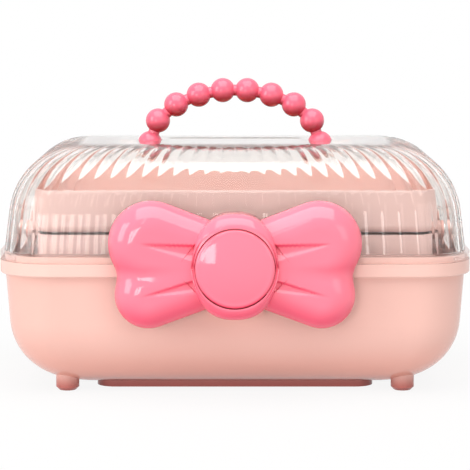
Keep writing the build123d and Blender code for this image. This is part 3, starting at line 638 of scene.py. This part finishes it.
# rim: how far in and back it rolls; stem: radius, height, tip; stemTip: length, radius
button = {
    "centreHeight": 86.4, "face": -123.3, "radius": 24.5, "domeRise": 2.1, "rim": (2.9, 1.9), "back": -113.5,
    "stem": (2.5, 63.0, -102.4), "stemTip": (2.0, 0.5), "stemRoot": 1.0,
    "domeRings": 14, "rimRings": 10, "segments": (96, 32), "crease": 50,
}


def makeButton():
    # Turned round y: a shallow dome whose depth grows with the square of the radius, a rim rolled over by a
    # quarter ellipse, and a straight skirt. Behind it stands the stem that pushes the catch.
    inward, drop = button["rim"]
    flat = button["radius"] - inward
    dome = np.linspace(0, flat, button["domeRings"])
    roll = np.linspace(0, np.pi / 2, button["rimRings"])[1:]
    radii = np.concatenate([dome, flat + inward * np.sin(roll), [button["radius"], 0]])
    along = np.concatenate([button["domeRise"] * (dome / flat) ** 2,
                            button["domeRise"] + drop * (1 - np.cos(roll)), [button["back"] - button["face"]] * 2])
    radii[0] = 0
    cap = turnedPart((0, button["face"], button["centreHeight"]), 1, along, radii, button["segments"][0])
    stemRadius, height, tip = button["stem"]
    tipLength, tipRadius = button["stemTip"]
    root = button["back"] - button["stemRoot"]
    stem = turnedPart((0, 0, height), 1, [root, root, tip - tipLength, tip, tip],
                      [0, stemRadius, stemRadius, tipRadius, 0], button["segments"][1])
    obj = mergedParts("roundButton", [cap, stem])
    obj.data.set_sharp_from_angle(angle=math.radians(button["crease"]))
    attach(obj, "button")
    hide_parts("bow_button")
    print("button:", len(obj.data.polygons), "faces")
    return obj


# band, low and inside go by a coordinate and under by the normal: a shade, its start and where it is whole; under,
# low and inside are painted shade, band is a paler tone on the tub's top
finishes = {
    "casePink": {"dark": (0.785, 0.475, 0.415), "light": (0.815, 0.505, 0.445), "gloss": (0.16, 0.24),
                 # under paints shade on faces that point down, low paints shade on the foot and plinth; band makes
                 # the top paler
                 "band": ((0.815, 0.53, 0.47), 0.0762, 0.0772), "under": ((0.82, 0.42, 0.35), -0.25, -0.95),
                 "low": ((0.51, 0.14, 0.12), 0.013, 0.001)},
    "trayPink": {"dark": (0.735, 0.495, 0.455), "light": (0.765, 0.525, 0.485), "gloss": (0.28, 0.36),
                 # inside paints shade that deepens towards the back of the trays
                 "inside": ((0.68, 0.34, 0.27), -0.078, -0.03)},
    "armPink": {"dark": (0.76, 0.40, 0.34), "light": (0.80, 0.44, 0.38), "gloss": (0.28, 0.36)},
    "bowPink": {"dark": (0.945, 0.185, 0.27), "light": (0.965, 0.205, 0.29), "gloss": (0.05, 0.09), "peel": 0.01,
                # under paints shade on the faces of the bow and knot that point down
                "under": ((0.84, 0.085, 0.17), 0.02, -0.7)},
    "beadPink": {"dark": (0.87, 0.125, 0.205), "light": (0.91, 0.155, 0.235), "gloss": (0.12, 0.18),
                 # under paints a deep red shade on the beads' undersides
                 "under": ((0.34, 0.012, 0.018), 0.2, -0.85)},
    "catchWhite": {"dark": (0.80, 0.78, 0.75), "light": (0.86, 0.84, 0.81), "gloss": (0.25, 0.35)},
}
rimLook = {"alpha": 0.35, "tint": (0.99, 0.965, 0.95), "ior": 1.3,
           "gloss": (0.05, 0.10), "ripple": 0.02, "rippleScale": 40.0}
clearLook = {"alpha": 0.93, "tint": (1.0, 0.988, 0.97), "ior": 1.34,
             "gloss": (0.0, 0.02), "ripple": 0.02, "rippleScale": 40.0}
steelLook = {"colour": (0.78, 0.77, 0.76)}

finishOf = {
    "base_tub": "casePink", "latch_bracket": "casePink",
    "upper_tray": "trayPink", "lower_tray": "trayPink",
    "front_arm_left": "armPink", "front_arm_right": "armPink",
    "rear_arm_left": "armPink", "rear_arm_right": "armPink",
    "bow_cover": "bowPink", "bow_button": "bowPink", "handle_beads": "beadPink",
    "latch_catch": "catchWhite",
    "lid_rim": "clearRim", "lift_studs": "clearPlastic", "lid_shell": "clearPlastic",
    "hinge_pins": "pinSteel", "base_pivot_pins": "pinSteel", "upper_tray_pins": "pinSteel",
    "lower_tray_pins": "pinSteel", "handle_pins": "pinSteel", "catch_pin": "pinSteel",
    "case_screws": "pinSteel", "button_springs": "pinSteel",
}


def dress(obj, material):
    # one material on the whole piece
    obj.data.materials.clear()
    obj.data.materials.append(material)


def finishAll(pieces):
    # every node that has a finish, and the pieces made here
    materials = {name: mouldedPlastic(name, look) for name, look in finishes.items()}
    materials["clearPlastic"] = clearPlastic("clearPlastic", clearLook)
    materials["clearRim"] = clearPlastic("clearRim", rimLook)
    materials["pinSteel"] = steelFinish("pinSteel", steelLook)
    for node, finish in finishOf.items():
        dress(nodes[node], materials[finish])
    for obj, finish in pieces:
        dress(obj, materials[finish])
    print("finishes:", len(materials), "materials on", len(finishOf), "nodes and", len(pieces), "pieces")


makeCamera()
makeStudio()
flutedLid = makeLid()
pinkBow = makeBow()
roundButton = makeButton()
finishAll([(flutedLid, "clearPlastic"), (pinkBow, "bowPink"), (roundButton, "bowPink")])
